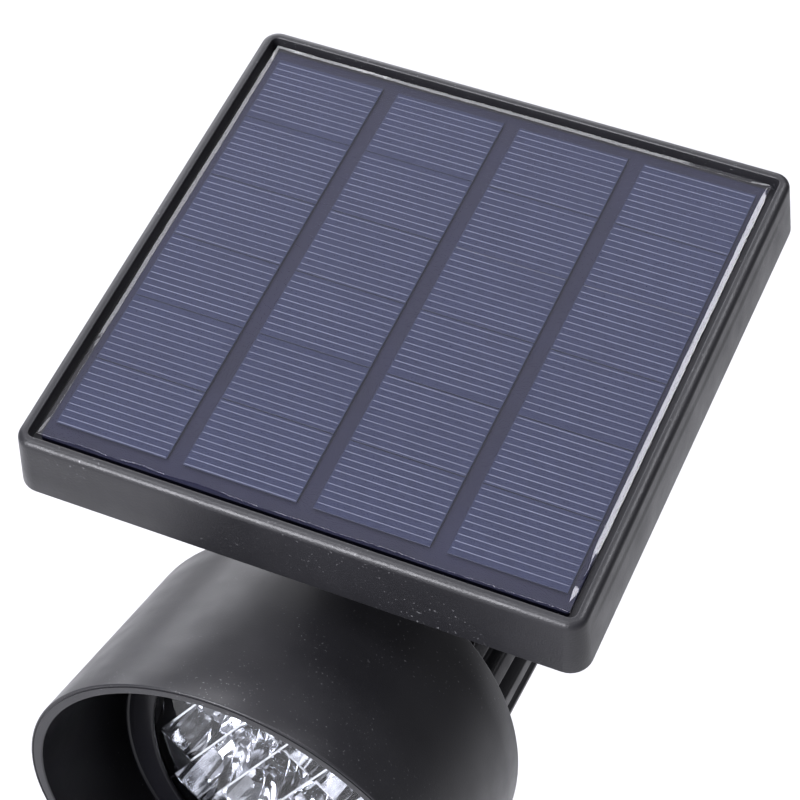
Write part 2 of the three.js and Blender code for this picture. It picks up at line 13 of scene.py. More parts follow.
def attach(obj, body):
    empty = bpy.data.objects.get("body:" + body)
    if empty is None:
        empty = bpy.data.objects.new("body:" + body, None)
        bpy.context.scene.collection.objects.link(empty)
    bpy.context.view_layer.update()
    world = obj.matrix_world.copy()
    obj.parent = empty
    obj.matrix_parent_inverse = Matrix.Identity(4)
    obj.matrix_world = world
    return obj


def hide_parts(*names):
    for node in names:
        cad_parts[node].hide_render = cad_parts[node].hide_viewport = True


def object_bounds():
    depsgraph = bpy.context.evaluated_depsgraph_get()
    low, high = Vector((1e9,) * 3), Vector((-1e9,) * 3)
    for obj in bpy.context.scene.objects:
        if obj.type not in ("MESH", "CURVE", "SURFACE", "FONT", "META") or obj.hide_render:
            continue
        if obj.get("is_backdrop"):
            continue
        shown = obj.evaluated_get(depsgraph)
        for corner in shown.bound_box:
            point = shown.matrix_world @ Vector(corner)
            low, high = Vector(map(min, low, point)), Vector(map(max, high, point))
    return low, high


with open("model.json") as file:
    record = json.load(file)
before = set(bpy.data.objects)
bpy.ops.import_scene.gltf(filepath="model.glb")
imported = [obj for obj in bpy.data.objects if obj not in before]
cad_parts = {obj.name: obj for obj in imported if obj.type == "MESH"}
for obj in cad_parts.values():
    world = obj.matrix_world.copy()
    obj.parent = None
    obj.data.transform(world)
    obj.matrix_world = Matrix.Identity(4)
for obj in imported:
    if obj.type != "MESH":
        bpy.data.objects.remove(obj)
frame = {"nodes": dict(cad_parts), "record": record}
CAD_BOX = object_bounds()

# Metres in a millimetre, and how near two points are one, in millimetres.
MM = 0.001
WELD = 0.0001

# ---------------------------------------------------------------- the CAD's driving dimensions

LAMP_Z = 170.0
HOOD_BACK = -28.35
HOOD_RADIUS = 44.2
HOOD_FLARE = math.tan(math.radians(2.45))
HOOD_WALL = 2.0
HOOD_LENGTH = 44.65
HOOD_CUT = math.tan(math.radians(14.35))
FLANGE_HOLE = 36.2
FLANGE_DEPTH = 2.2
HOOD_SCREW_CIRCLE = 39.2

BARREL = 74.0
RIBS = 24
RIB_PHASE = math.radians(4)
RIB_TOP = 35.06
RIB_ROOT = 31.6
BARREL_BORE = 26.8
TAPER = math.tan(math.radians(2.37))
CUP_RADIUS = 37.5
CUP_BORE = 33.4
CUP_FRONT = 18.2
OPTIC_RADIUS = 33.0
WINDOW = 31.0
TROUGH_PITCH = 9.2
TROUGH_ANGLE = math.radians(54)
TROUGH_SHIFT = 1.4

PANEL_Z = LAMP_Z + 88.1
PANEL_TILT = math.radians(18.55)
PANEL_HALF = 60.4
PANEL_INNER = 58.2
PANEL_DEPTH = 15.0
PANEL_FOOT = PANEL_HALF + 1.06
COVER_HALF = PANEL_FOOT - 3.5
TRAY_TOP = -3.4
TRAY_UNDER = -5.4
COVER_TOP = -12.7
PANEL_SCREW = 50
BOARD_HALF = 57.2
CELL_PITCH = 28.2
CELL_WIDTH = 24.6
CELL_ROW = 17.7
CELL_SHIFT = 0.6
PIVOT_DROP = 27.0
ARM_Y = PIVOT_DROP * math.sin(PANEL_TILT)
ARM_PIVOT = PANEL_Z - PIVOT_DROP * math.cos(PANEL_TILT)

TILT_Z = 118.0
POST_HOLE_Z = 18

# Frames in which the panel, its hinge and the tilt joint are drawn.
PANEL_PLACE = Matrix.Translation((0, 0, PANEL_Z)) @ Matrix.Rotation(PANEL_TILT, 4, "X")
HINGE_PLACE = PANEL_PLACE @ Matrix.Translation((0, 0, -PIVOT_DROP))
TILT_PLACE = Matrix.Translation((0, 0, TILT_Z))

# ---------------------------------------------------------------- node materials


class Shader:
    """A node material, with short ways to add what most of the surfaces here are made of."""

    def __init__(self, name, color, roughness, **inputs):
        self.material = bpy.data.materials.new(name)
        self.material.use_nodes = True
        self.tree = self.material.node_tree
        self.bsdf = self.tree.nodes["Principled BSDF"]
        self.bsdf.inputs["Base Color"].default_value = (*color, 1)
        self.bsdf.inputs["Roughness"].default_value = roughness
        for key, value in inputs.items():
            self.bsdf.inputs[key.replace("_", " ")].default_value = value
        self.coords = self.add("ShaderNodeTexCoord").outputs["Object"]

    def add(self, kind, **settings):
        node = self.tree.nodes.new(kind)
        for key, value in settings.items():
            setattr(node, key, value)
        return node

    def link(self, source, target):
        self.tree.links.new(source, target)

    def noise(self, scale, detail=3.0, stretch=(1, 1, 1)):
        """Noise with features about 1 / scale metres across."""
        mapping = self.add("ShaderNodeMapping")
        mapping.inputs["Scale"].default_value = stretch
        self.link(self.coords, mapping.inputs["Vector"])
        node = self.add("ShaderNodeTexNoise")
        node.inputs["Scale"].default_value = scale
        node.inputs["Detail"].default_value = detail
        self.link(mapping.outputs["Vector"], node.inputs["Vector"])
        return node.outputs["Fac"]

    def spread(self, value, low, high, start=0.3, end=0.7):
        """A 0 to 1 value mapped to low..high."""
        node = self.add("ShaderNodeMapRange")
        node.inputs["From Min"].default_value = start
        node.inputs["From Max"].default_value = end
        node.inputs["To Min"].default_value = low
        node.inputs["To Max"].default_value = high
        self.link(value, node.inputs["Value"])
        return node.outputs["Result"]

    def tint(self, value, dark, light, start=0.3, end=0.7):
        """A 0 to 1 value mapped to a colour between dark and light."""
        ramp = self.add("ShaderNodeValToRGB")
        ramp.color_ramp.elements[0].position = start
        ramp.color_ramp.elements[1].position = end
        ramp.color_ramp.elements[0].color = (*dark, 1)
        ramp.color_ramp.elements[1].color = (*light, 1)
        self.link(value, ramp.inputs["Fac"])
        return ramp.outputs["Color"]

    def bump(self, *layers):
        """Layers of (height value, depth in metres), one on another."""
        normal = None
        for value, depth in layers:
            node = self.add("ShaderNodeBump")
            node.inputs["Strength"].default_value = 1.0
            node.inputs["Distance"].default_value = depth
            self.link(value, node.inputs["Height"])
            if normal:
                self.link(normal, node.inputs["Normal"])
            normal = node.outputs["Normal"]
        self.link(normal, self.bsdf.inputs["Normal"])
        return normal


def shade(color, factor):
    return tuple(c * factor for c in color)


def moulded(name, color, roughness, grain=0.00002, size=2600, specular=0.5, painted_glints=0.0):
    """Moulded plastic: a spark-eroded grain, slow changes of gloss, and faint cloudy colour.
    Painted glints, when there are any, lie as pale specks in drifting patches of the base colour."""
    s = Shader(name, color, roughness, Specular_IOR_Level=specular)
    cloud = s.noise(60, 4)
    tone = s.tint(cloud, shade(color, 0.86), shade(color, 1.16))
    if painted_glints:
        # Painted highlight: pale specks in the base colour stand in for glints off the grain.
        specks = s.spread(s.noise(1700, 1), 0, painted_glints, 0.70, 0.76)
        patches = s.spread(s.noise(40, 2), 0, 1, 0.45, 0.7)
        share = s.add("ShaderNodeMath", operation="MULTIPLY")
        s.link(specks, share.inputs[0])
        s.link(patches, share.inputs[1])
        mix = s.add("ShaderNodeMix", data_type="RGBA")
        s.link(share.outputs["Value"], mix.inputs["Factor"])
        s.link(tone, mix.inputs["A"])
        mix.inputs["B"].default_value = (0.3, 0.3, 0.31, 1)
        tone = mix.outputs["Result"]
    s.link(tone, s.bsdf.inputs["Base Color"])
    gloss = s.noise(140, 5)
    s.link(s.spread(gloss, roughness * 0.88, roughness * 1.15), s.bsdf.inputs["Roughness"])
    s.bump((s.noise(size, 2), grain), (s.noise(45, 2), 0.00006))
    return s.material


def metal(name, color, roughness, stretch=(1, 1, 1)):
    s = Shader(name, color, roughness, Metallic=1.0)
    cloud = s.noise(300, 5)
    s.link(s.tint(cloud, shade(color, 0.8), shade(color, 1.12)), s.bsdf.inputs["Base Color"])
    fine = s.noise(1800, 3, stretch)
    s.link(s.spread(fine, roughness * 0.75, roughness * 1.35), s.bsdf.inputs["Roughness"])
    s.bump((fine, 0.000006))
    return s.material


def clear(name, tint, roughness, waves):
    """A clear part seen by its reflections: what is behind shows through with a slight tint."""
    s = Shader(name, tint, roughness)
    s.link(s.spread(s.noise(90, 3), roughness * 0.5, roughness * 1.8), s.bsdf.inputs["Roughness"])
    normal = s.bump((s.noise(35, 2), waves))
    through = s.add("ShaderNodeBsdfTransparent")
    through.inputs["Color"].default_value = (*tint, 1)
    fresnel = s.add("ShaderNodeFresnel")
    fresnel.inputs["IOR"].default_value = 1.5
    s.link(normal, fresnel.inputs["Normal"])
    gloss = s.add("ShaderNodeBsdfGlossy")
    gloss.inputs["Color"].default_value = (1, 1, 1, 1)
    gloss.inputs["Roughness"].default_value = roughness
    s.link(normal, gloss.inputs["Normal"])
    # Only the outer face shines: the inner one lies against other parts or in shade.
    outside = s.add("ShaderNodeMath", operation="SUBTRACT")
    outside.inputs[0].default_value = 1.0
    s.link(s.add("ShaderNodeNewGeometry").outputs["Backfacing"], outside.inputs[1])
    share = s.add("ShaderNodeMath", operation="MULTIPLY")
    s.link(fresnel.outputs["Fac"], share.inputs[0])
    s.link(outside.outputs["Value"], share.inputs[1])
    mix = s.add("ShaderNodeMixShader")
    s.link(share.outputs["Value"], mix.inputs["Fac"])
    s.link(through.outputs["BSDF"], mix.inputs[1])
    s.link(gloss.outputs["BSDF"], mix.inputs[2])
    s.link(mix.outputs["Shader"], s.tree.nodes["Material Output"].inputs["Surface"])
    return s.material


def silicon(name):
    """Dark blue cells: a fine grain across the strings under slow cloudy changes of tone."""
    dark, dim, light = (0.007, 0.0098, 0.025), (0.009, 0.0118, 0.032), (0.012, 0.0158, 0.039)
    s = Shader(name, light, 0.4, Specular_IOR_Level=0.12)
    grain = s.noise(900, 4, (1, 0.35, 1))
    cloud = s.noise(38, 3)
    mix = s.add("ShaderNodeMix", data_type="RGBA")
    mix.inputs["Factor"].default_value = 0.5
    s.link(s.tint(grain, dark, light), mix.inputs["A"])
    s.link(s.tint(cloud, dim, light), mix.inputs["B"])
    s.link(mix.outputs["Result"], s.bsdf.inputs["Base Color"])
    s.link(s.spread(grain, 0.32, 0.5), s.bsdf.inputs["Roughness"])
    s.bump((grain, 0.000004))
    return s.material


PLASTIC = (0.0105, 0.0104, 0.012)
LOOKS = {
    "black_plastic": moulded("black_moulded_plastic", PLASTIC, 0.36, grain=0.00005, specular=0.29, painted_glints=0.5),
    "hood_plastic": moulded("hood_satin_plastic", PLASTIC, 0.33, 0.000012, 3200, specular=0.29, painted_glints=0.5),
    "ribbed_plastic": moulded("housing_plastic", PLASTIC, 0.42, grain=0.00003, specular=0.2, painted_glints=0.3),
    "stake_plastic": moulded("stake_plastic", (0.011, 0.011, 0.0115), 0.45),
    "bezel_plastic": moulded("bezel_gloss_plastic", (0.004, 0.004, 0.005), 0.16, 0.000002, specular=0.25),
    "rubber": moulded("black_rubber", (0.016, 0.016, 0.017), 0.72, 0.00003, 1800, specular=0.3),
    "board": moulded("board_black_mask", (0.005, 0.0055, 0.017), 0.45, 0.0000008, 1500, specular=0.12),
    "circuit": moulded("circuit_green_mask", (0.02, 0.11, 0.05), 0.38, 0.00001, 1500),
    "led": moulded("led_phosphor", (0.86, 0.86, 0.80), 0.35, 0.00001, 2500),
    "battery": moulded("battery_sleeve", (0.03, 0.11, 0.36), 0.3, 0.000006, 1500),
    "silicon": silicon("silicon_blue"),
    "silver": moulded("silver_print", (0.15, 0.16, 0.2), 0.5, 0.000002, 4000, specular=0.2),
    "steel": metal("zinc_plated_steel", (0.62, 0.62, 0.64), 0.32),
    "aluminium": metal("board_aluminium", (0.78, 0.78, 0.79), 0.35, (1, 0.1, 1)),
    "chrome_reflector": metal("metallised_reflector", (0.9, 0.9, 0.92), 0.07),
    "clear_lens": clear("clear_lens", (0.93, 0.94, 0.95), 0.02, waves=0.00002),
    "resin": clear("epoxy_coat", (0.97, 0.97, 0.99), 0.04, waves=0.000004),
}

# ---------------------------------------------------------------- meshes


def piece(name, vertices, faces, body, look, nodes=(), slot=None, place=None, crease=32):
    """A piece of the object from millimetre vertices, riding on a CAD body."""
    points = np.asarray(vertices, float) * MM
    mesh = bpy.data.meshes.new(name)
    mesh.from_pydata([tuple(p) for p in points], [], [tuple(f) for f in faces])
    bm = bmesh.new()
    bm.from_mesh(mesh)
    bmesh.ops.remove_doubles(bm, verts=bm.verts, dist=WELD * MM)
    bmesh.ops.dissolve_degenerate(bm, edges=bm.edges, dist=1e-8)
    bmesh.ops.recalc_face_normals(bm, faces=bm.faces)
    bm.to_mesh(mesh)
    bm.free()
    if place is not None:
        moved = place.copy()
        moved.translation = moved.translation * MM
        mesh.transform(moved)
    obj = bpy.data.objects.new(name, mesh)
    bpy.context.scene.collection.objects.link(obj)
    return dress(obj, body, look, nodes, crease)


def dress(obj, body, look, nodes=(), crease=32):
    """Material, smooth shading with creases above an angle, and the CAD body and nodes."""
    mesh = obj.data
    mesh.materials.clear()
    mesh.materials.append(LOOKS[look])
    for polygon in mesh.polygons:
        polygon.use_smooth = True
    if crease:
        mesh.set_sharp_from_angle(angle=math.radians(crease))
    if body:
        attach(obj, body)
    if nodes:
        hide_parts(*nodes)
    return obj


def rounded(points, is_closed=False, steps=4):
    """A polyline whose corners given as (x, y, radius) are rounded off."""
    result = []
    count = len(points)
    for i, point in enumerate(points):
        radius = point[2] if len(point) > 2 else 0
        here = np.array(point[:2], float)
        if radius == 0 or (not is_closed and i in (0, count - 1)):
            result.append(tuple(here))
            continue
        before = np.array(points[i - 1][:2], float) - here
        after = np.array(points[(i + 1) % count][:2], float) - here
        u = before / np.linalg.norm(before)
        v = after / np.linalg.norm(after)
        half = math.acos(max(-1.0, min(1.0, float(u @ v)))) / 2
        reach = min(radius / math.tan(half), 0.49 * np.linalg.norm(before), 0.49 * np.linalg.norm(after))
        for k in range(steps + 1):
            t = k / steps
            result.append(tuple(here + u * reach * (1 - t) ** 2 + v * reach * t ** 2))
    return result


def rings_to_faces(count, rings, is_loop, caps=True):
    """Quads between rings of count points each; end caps unless the rings close into a loop."""
    faces = []
    for r in range(rings if is_loop else rings - 1):
        a, b = r * count, (r + 1) % rings * count
        faces += [(a + i, a + (i + 1) % count, b + (i + 1) % count, b + i) for i in range(count)]
    if not is_loop and caps:
        faces.append(tuple(range(count))[::-1])
        faces.append(tuple((rings - 1) * count + i for i in range(count)))
    return faces


def loft(rings, is_loop=False):
    """(vertices, faces) through rings of 3-D points."""
    count = len(rings[0])
    return [p for ring in rings for p in ring], rings_to_faces(count, len(rings), is_loop)


def turn(profile, place, segments, is_loop=False):
    """(vertices, faces) of a profile of (radius, height) points turned; place(r, h, angle) gives a point."""
    angles = [2 * math.pi * i / segments for i in range(segments)]
    return loft([[place(max(r, 1e-4), h, a) for a in angles] for r, h in profile], is_loop)


def about_lamp(r, s, a):
    return (r * math.cos(a), HOOD_BACK - s, LAMP_Z + r * math.sin(a))


def upright(x=0.0, y=0.0, base=0.0):
    return lambda r, z, a: (x + r * math.cos(a), y + r * math.sin(a), base + z)


def along_x(r, x, a):
    return (x, r * math.cos(a), r * math.sin(a))


def merge(*shapes):
    """Several (vertices, faces) as one."""
    vertices, faces = [], []
    for v, f in shapes:
        base = len(vertices)
        vertices += list(v)
        faces += [tuple(base + i for i in face) for face in f]
    return vertices, faces


# Points along a side that may swell, as shares of its straight length.
SIDE_SHARES = (-0.97, -0.93, -0.88, -0.8, 0.0, 0.8, 0.88, 0.93, 0.97)


def square_ring(half, radius, z, steps=8, swell=0.0):
    """A rounded square whose left and right sides may swell between the corners."""
    points = []
    reach = half - radius
    for corner in range(4):
        middle = math.pi / 4 + corner * math.pi / 2
        x = math.copysign(reach, math.cos(middle))
        y = math.copysign(reach, math.sin(middle))
        for i in range(steps + 1):
            a = corner * math.pi / 2 + i / steps * math.pi / 2
            points.append((x + radius * math.cos(a), y + radius * math.sin(a), z))
        if corner in (1, 3):
            side = -1 if corner == 1 else 1
            for share in SIDE_SHARES:
                bulge = swell * min(1.0, (1 - abs(share)) * 6)
                points.append((side * (half + bulge), side * share * reach, z))
    return points


def box(low, high, chamfer=0.0):
    """A block, its long edges chamfered."""
    (x0, y0, z0), (x1, y1, z1) = low, high

    def ring(inset, z):
        west, east, south, north = x0 + inset, x1 - inset, y0 + inset, y1 - inset
        return [(west, south, z), (east, south, z), (east, north, z), (west, north, z)]

    if not chamfer:
        return loft([ring(0, z0), ring(0, z1)])
    return loft([ring(chamfer, z0), ring(0, z0 + chamfer), ring(0, z1 - chamfer), ring(chamfer, z1)])


def plate(outline, low, high, round_off=0.6, steps=3):
    """A plate in the (y, z) plane from x = low to high, its edges rounded; the outline is convex."""
    points = np.array(outline, float)
    if sum(a[0] * b[1] - b[0] * a[1] for a, b in zip(points, np.roll(points, -1, 0))) < 0:
        points = points[::-1]
    ahead = np.roll(points, -1, 0) - points
    normals = np.stack([ahead[:, 1], -ahead[:, 0]], 1)
    normals /= np.linalg.norm(normals, axis=1)[:, None]
    before = np.roll(normals, 1, 0)
    mitre = normals + before
    mitre /= (1 + (normals * before).sum(1))[:, None]
    rings = []
    marks = [math.pi / 2 * k / steps for k in range(steps + 1)]
    ends = [(low + round_off * (1 - math.sin(t)), round_off * (1 - math.cos(t))) for t in marks]
    ends += [(high - round_off * (1 - math.sin(t)), round_off * (1 - math.cos(t))) for t in marks[::-1]]
    for x, inset in sorted(ends, key=lambda e: e[0]):
        inner = points - mitre * inset
        rings.append([(x, y, z) for y, z in inner])
    return loft(rings)


def ear(pivot_y, pivot_z, radius, foot_half, foot_z, steps=24):
    """Outline of a lug in the (y, z) plane: round about a pivot and widening to its foot."""
    side = math.copysign(1, pivot_z - foot_z)
    angles = [math.pi * i / steps for i in range(steps + 1)]
    return (
        [(pivot_y + side * foot_half, foot_z)]
        + [(pivot_y + side * radius * math.cos(a), pivot_z + side * radius * math.sin(a)) for a in angles]
        + [(pivot_y - side * foot_half, foot_z)]
    )


def temporary(shape):
    """An object in millimetres that only lives while a shape is carved."""
    vertices, faces = shape
    mesh = bpy.data.meshes.new("tool")
    mesh.from_pydata([tuple(v) for v in vertices], [], [tuple(f) for f in faces])
    bm = bmesh.new()
    bm.from_mesh(mesh)
    bmesh.ops.remove_doubles(bm, verts=bm.verts, dist=WELD)
    bmesh.ops.recalc_face_normals(bm, faces=bm.faces)
    bm.to_mesh(mesh)
    bm.free()
    obj = bpy.data.objects.new("tool", mesh)
    bpy.context.scene.collection.objects.link(obj)
    return obj


def carve(base, add=(), remove=(), within=()):
    """(vertices, faces) of base with shapes joined to it and cut out of it, and only what lies within
    the last ones, still in millimetres."""
    obj = temporary(base)
    for operation, shapes in (("UNION", add), ("DIFFERENCE", remove), ("INTERSECT", within)):
        for shape in shapes:
            tool = temporary(shape)
            modifier = obj.modifiers.new("cut", "BOOLEAN")
            modifier.operation = operation
            modifier.solver = "EXACT"
            modifier.object = tool
            graph = bpy.context.evaluated_depsgraph_get()
            mesh = bpy.data.meshes.new_from_object(obj.evaluated_get(graph))
            obj.modifiers.clear()
            obj.data = mesh
            bpy.data.objects.remove(tool)
    vertices = [tuple(v.co) for v in obj.data.vertices]
    faces = [tuple(p.vertices) for p in obj.data.polygons]
    bpy.data.objects.remove(obj)
    return vertices, faces


def rod_x(radius, low, high, segments=32):
    return turn([(radius, low), (radius, high)], along_x, segments)


def rod_z(radius, low, high, x=0.0, y=0.0, segments=32):
    return turn([(radius, low), (radius, high)], upright(x, y), segments)


def rod_y(radius, front, back, x, z, segments=20):
    """A rod along the lamp, between two stations."""
    place = lambda r, s, a: (x + r * math.cos(a), HOOD_BACK - s, LAMP_Z + z + r * math.sin(a))
    return turn([(radius, back), (radius, front)], place, segments)


# ---------------------------------------------------------------- solar panel


def arc(x, z, radius, start, end, steps):
    """Points of an arc about (x, z); 0 degrees is straight up and 90 is outwards."""
    turns = [math.radians(start + (end - start) * k / steps) for k in range(steps + 1)]
    return [(x + radius * math.sin(t), z + radius * math.cos(t)) for t in turns]


def panel_screw_rods(radius, low, high, segments=32):
    """A rod at each of the four screws of the panel's cover."""
    spots = [(x, y) for x in (-PANEL_SCREW, PANEL_SCREW) for y in (-PANEL_SCREW, PANEL_SCREW)]
    return [rod_z(radius, low, high, x, y, segments) for x, y in spots]


def panel_frame():
    """Tray with a rolled rim; its two sides swell a little below the rim."""
    half = PANEL_HALF + 0.1
    rim, lip, foot, patch = 1.6, 0.32, 0.5, 30
    swell, swell_top, swell_end, swell_foot = 0.2, -3.3, -5.3, -9.3
    swell_steps = 6
    foot_z = -PANEL_DEPTH + foot
    slope = (PANEL_FOOT - half) / (-rim - foot_z)
    section = [(PANEL_INNER, TRAY_TOP, 0)]
    section += [(x, z, 0) for x, z in arc(PANEL_INNER + lip, -lip, lip, -90, 0, 4)]
    section += [(x, z, 0) for x, z in arc(half - rim, -rim, rim, 0, 86, 10)]
    for k in range(swell_steps + 1):
        z = swell_top + (swell_end - swell_top) * k / swell_steps
        share = (1 - math.cos(math.pi * k / swell_steps)) / 2
        section.append((half + (-rim - z) * slope, z, swell * share))
    section.append((half + (-rim - swell_foot) * slope, swell_foot, swell * 0.6))
    section.append((PANEL_FOOT, foot_z, 0))
    section += [(x, z, 0) for x, z in arc(PANEL_FOOT - foot, foot_z, foot, 105, 180, 4)]
    section += [(PANEL_FOOT - 2.9, -PANEL_DEPTH, 0), (PANEL_FOOT - 3.4, TRAY_UNDER, 0)]
    rings = [square_ring(patch, 0.8, TRAY_TOP)]
    rings += [square_ring(x, max(0.8, 3.6 + (x - PANEL_HALF)), z, swell=extra) for x, z, extra in section]
    rings += [square_ring(patch, 0.8, TRAY_UNDER)]
    posts = panel_screw_rods(4, -12.3, -5, segments=24)
    return carve(loft(rings), add=posts)


piece("panel_frame_shell", *panel_frame(), "panel", "black_plastic", ["panel_frame"], "black_plastic",
      PANEL_PLACE)

CELL_BOARD_HALF = 56.3
cell_board = loft([square_ring(CELL_BOARD_HALF, 0.6, z) for z in (-3.1, -2.1)])
piece("cell_board", *cell_board, "panel", "board", ["solar_board"], "board", PANEL_PLACE)

CELL_UNDER, CELL_TOP = -1.8, -1.5
CELL_GAP = 0.12
FINGER_UNDER, FINGER_TOP = -1.51, -1.47
FINGER_MARGIN = 0.25
FINGER_PITCH = 1.65
FINGER_HALF = 0.05
# (first finger, count) for each cell, from the back; the two left columns are cut from other wafers.
FINGERS_LEFT = [(52.6, 10), (34.3, 10), (17.6, 11), (-0.7, 10), (-18.9, 10), (-35.6, 11)]
FINGERS_RIGHT = [(52.9, 11), (34.7, 10), (18.1, 11), (-0.25, 10), (-17.7, 11), (-36.0, 10)]

for column in range(4):
    middle = (column - 1.5) * CELL_PITCH
    left, right = middle - CELL_WIDTH / 2, middle + CELL_WIDTH / 2
    cells, prints = [], []
    for row in range(6):
        back = 3 * CELL_ROW + CELL_SHIFT - row * CELL_ROW
        low = (left, back - CELL_ROW + CELL_GAP, CELL_UNDER)
        cells.append(box(low, (right, back - CELL_GAP, CELL_TOP), 0.05))
    for first, count in FINGERS_LEFT if column < 2 else FINGERS_RIGHT:
        for i in range(count):
            y = first - i * FINGER_PITCH
            low = (left + FINGER_MARGIN, y - FINGER_HALF, FINGER_UNDER)
            prints.append(box(low, (right - FINGER_MARGIN, y + FINGER_HALF, FINGER_TOP)))
    string = f"cell_string_{column + 1}"
    piece(f"solar_cells_{column + 1}", *merge(*cells), "panel", "silicon", [string], "silicon", PANEL_PLACE)
    piece(f"silver_fingers_{column + 1}", *merge(*prints), "panel", "silver", (), "silicon", PANEL_PLACE)


def bumps(t, *hills):
    """Smooth hills along an edge, each (place, half width, height)."""
    return sum(height * math.exp(-((t - place) / width) ** 2) for place, width, height in hills)


def coat_edge(side, t):
    """How far the coat stops short of its tray at t along a side, the width of its bevel and of the soft
    lip on it, and the bevel's rise."""
    right, front = 0, 3
    corner = max(0.0, 1 - (BOARD_HALF - abs(t)) / 7)
    if side == front:
        pull = 0.3 + bumps(t, (-46, 5, 0.35), (-34, 4, 0.5), (-20, 8, 0.6), (0, 6, 0.25), (18, 9, 0.3))
        return pull, 0.1, 0.05 + bumps(t, (-40, 3, 0.12), (-22, 7, 0.16), (-6, 3, 0.1)), 0.34
    if side == right:
        bevel = 1.0 - 0.6 * corner ** 2 - bumps(t, (-47, 3.5, 0.75))
        return 0.3 + bumps(t, (-51, 4, 0.5)), bevel, 0.06, 0.34
    bevel = 0.9 - 0.4 * corner ** 2 + bumps(t, (-12, 14, 0.08), (33, 8, -0.08))
    return 0.62 + bumps(t, (-30, 9, 0.1), (20, 12, 0.12)), bevel, 0.06, 0.13


def epoxy_coat():
    """The poured coat: a bevel along three clean sides, and a front edge that crept unevenly."""
    straight, bend, radius = 90, 4, 0.5
    foot, waist, deep, shoulder, top = -1.3, -1.22, -0.97, -0.52, -0.5
    reach = BOARD_HALF - radius
    rings = [[] for _ in range(6)]
    for side in range(4):
        a = side * math.pi / 2
        spots = [(BOARD_HALF, reach * (2 * k / straight - 1), a) for k in range(straight + 1)]
        for k in range(1, bend):
            turned = math.pi / 2 * k / bend
            spots.append((reach + radius * math.cos(turned), reach + radius * math.sin(turned), a + turned))
        for x, t, normal in spots:
            pull, bevel, lip, rise = coat_edge(side, t)
            steps = [
                (pull * 0.86, foot), (pull * 0.9, waist), (pull, deep), (pull + 0.04, shoulder - rise),
                (pull + bevel, shoulder), (pull + bevel + lip, top),
            ]
            for ring, (inset, z) in zip(rings, steps):
                u = x - inset * math.cos(normal - a)
                v = t - inset * math.sin(normal - a)
                limit = BOARD_HALF - inset
                u = min(u, limit)
                v = max(-limit, min(limit, v))
                ring.append((u * math.cos(a) - v * math.sin(a), u * math.sin(a) + v * math.cos(a), z))
    under = [(x * 0.7, y * 0.7, z) for x, y, z in rings[0]]
    return loft([under] + rings)


piece("epoxy_coat", *epoxy_coat(), "panel", "resin", ["resin_coat"], "resin", PANEL_PLACE, crease=9)


def panel_back():
    """Cover under the tray, with the two lugs of the hinge."""
    patch = 40
    section = rounded([
        (patch, -PANEL_DEPTH), (COVER_HALF, -PANEL_DEPTH, 0.8),
        (COVER_HALF, COVER_TOP, 0.3), (patch, COVER_TOP),
    ])
    outline = ear(0, -PIVOT_DROP, 9, 15, -PANEL_DEPTH + 0.5)
    ears = [plate(outline, 4.9, 8.9), plate(outline, -8.9, -4.9)]
    holes = panel_screw_rods(1.8, -17, -12)
    sinks = panel_screw_rods(3.4, -17, -13.7)
    vertices, faces = rod_x(2.7, -20, 20)
    bore = ([(x, y, z - PIVOT_DROP) for x, y, z in vertices], faces)
    return carve(loft([square_ring(half, 2.6, z) for half, z in section]), ears, [*holes, *sinks, bore])


piece("panel_cover", *panel_back(), "panel", "black_plastic", ["panel_back"], "black_plastic", PANEL_PLACE)

# ---------------------------------------------------------------- fasteners and knobs


def pan_screw(head, height, shank, length):
    """A cross-head screw along +Z with the top of its head at 0."""
    profile = rounded([
        (0, -length), (shank * 0.5, -length), (shank, -length + shank), (shank, -height),
        (head, -height), (head, -height * 0.45, 0.25), (head * 0.62, 0, head), (0, 0),
    ])
    slot = head * 0.14
    reach = head * 0.6
    deep = -height * 0.6
    bars = [
        box((-reach, -slot, deep), (reach, slot, 1)),
        box((-slot, -reach, deep), (slot, reach, 1)),
    ]
    return carve(turn(profile, upright(), 28), remove=bars)


def hand_knob(radius, low, high, bore):
    """A knob with rounded lobes for the fingers, on a plain collar, along X from low to high."""
    lobes, points, depth = 6, 72, 0.9
    lobes_from, lobes_full = 0.62, 0.7
    profile = rounded([
        (0.62, low), (0.62, low + 1.2, 0.1), (0.95, low + 1.2, 0.1), (1.0, low + 2.2, 0.4),
        (1.0, high - 1.2, 0.6), (0.84, high, 0.5), (0.4, high, 0.2), (0.34, high - 0.5),
    ])
    rings = []
    for scale, x in profile:
        share = 1 if scale > lobes_full else max(0, (scale - lobes_from) / (lobes_full - lobes_from))
        ring = []
        for i in range(points):
            a = 2 * math.pi * i / points
            r = scale * radius + share * depth * (math.cos(lobes * a) - 1)
            ring.append((x, r * math.cos(a), r * math.sin(a)))
        rings.append(ring)
    return carve(loft(rings), remove=[rod_x(bore, low - 1, high - 2.6)])


def hex_bolt(head, height, shank, low, high):
    """A bolt along X: its head's face at low - height, and its plain end at high."""
    def hexagon(scale, x):
        turns = [math.pi / 3 * i for i in range(6)]
        return [(x, scale * head * math.cos(a), scale * head * math.sin(a)) for a in turns]

    top = loft([hexagon(0.88, low - height), hexagon(1, low - height * 0.84), hexagon(1, low)])
    shaft = turn(rounded([(0, low - 0.5), (shank, low - 0.5), (shank, high, 0.6), (0, high)]), along_x, 24)
    return carve(top, [shaft])


def fastener(name, shape, node, body, place):
    piece(name, *shape, body, "steel", [node], "steel", place)


panel_screw = pan_screw(3, 1.2, 1.4, 7.8)
for i, (x, y) in enumerate([(-1, -1), (1, -1), (1, 1), (-1, 1)]):
    spot = Matrix.Translation((x * PANEL_SCREW, y * PANEL_SCREW, -PANEL_DEPTH - 0.2))
    downward = PANEL_PLACE @ spot @ Matrix.Rotation(math.pi, 4, "X")
    fastener(f"cover_screw_{i + 1}", panel_screw, f"panel_screw_{i + 1}", "panel", downward)

